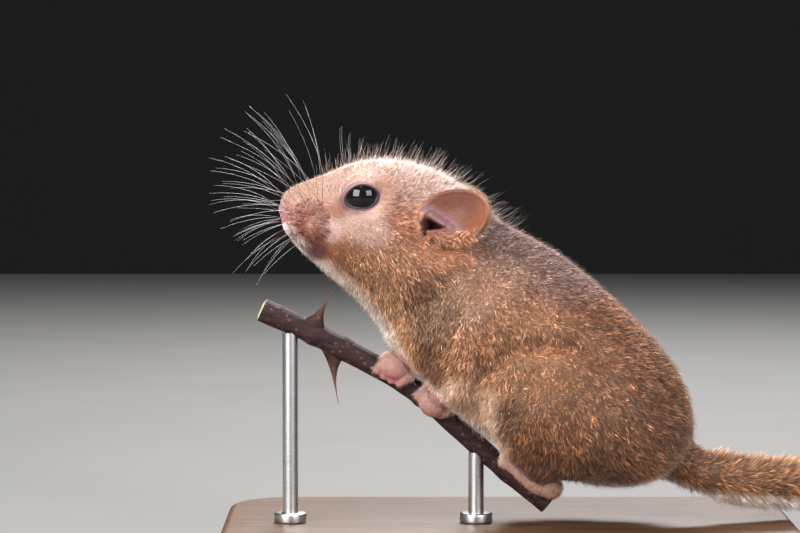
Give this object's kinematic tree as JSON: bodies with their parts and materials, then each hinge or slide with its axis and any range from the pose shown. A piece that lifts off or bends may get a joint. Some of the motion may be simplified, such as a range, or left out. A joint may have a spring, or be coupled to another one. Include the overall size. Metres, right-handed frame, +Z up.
{
  "type": "hazel dormouse",
  "caption": "Life-size still model of a hazel dormouse gripping a short cut length of thorny bramble stem, held over a flat wooden base by short steel rods.",
  "frame": {"origin": "centre of the underside of the stand's base", "axes": "+Z up, -X towards the animal's nose, -Y towards its left side"},
  "size_m": [0.1083, 0.052, 0.0528],
  "materials": {
    "fur": "soft golden-brown fur with cream-white throat, chest and belly",
    "pale_fur": "short peach-coloured fur, paler on the crown, pink on the muzzle",
    "pink_skin": "bare pink skin with sparse short hair",
    "ear_skin": "thin brownish-pink ear skin with a pale rim",
    "eye_black": "black, wet and glossy",
    "bark": "smooth purple-brown bramble bark",
    "wood": "oiled brown hardwood",
    "steel": "brushed steel"
  },
  "bodies": {
    "root": {"head": "pale_fur", "neck": "fur", "trunk": "fur", "foreleg_left": "fur", "foreleg_right": "fur", "hindleg_left": "fur", "hindleg_right": "fur", "forefoot_left": "pink_skin", "forefoot_right": "pink_skin", "hindfoot_left": "pink_skin", "hindfoot_right": "pink_skin", "ear_left": "ear_skin", "ear_right": "ear_skin", "eye_left": "eye_black", "eye_right": "eye_black", "tail_1": "fur", "tail_2": "fur", "tail_3": "fur", "perch_stem": "bark", "stand_base": "wood", "stand_rod_front": "steel", "stand_rod_rear": "steel"}
  },
  "joints": []
}
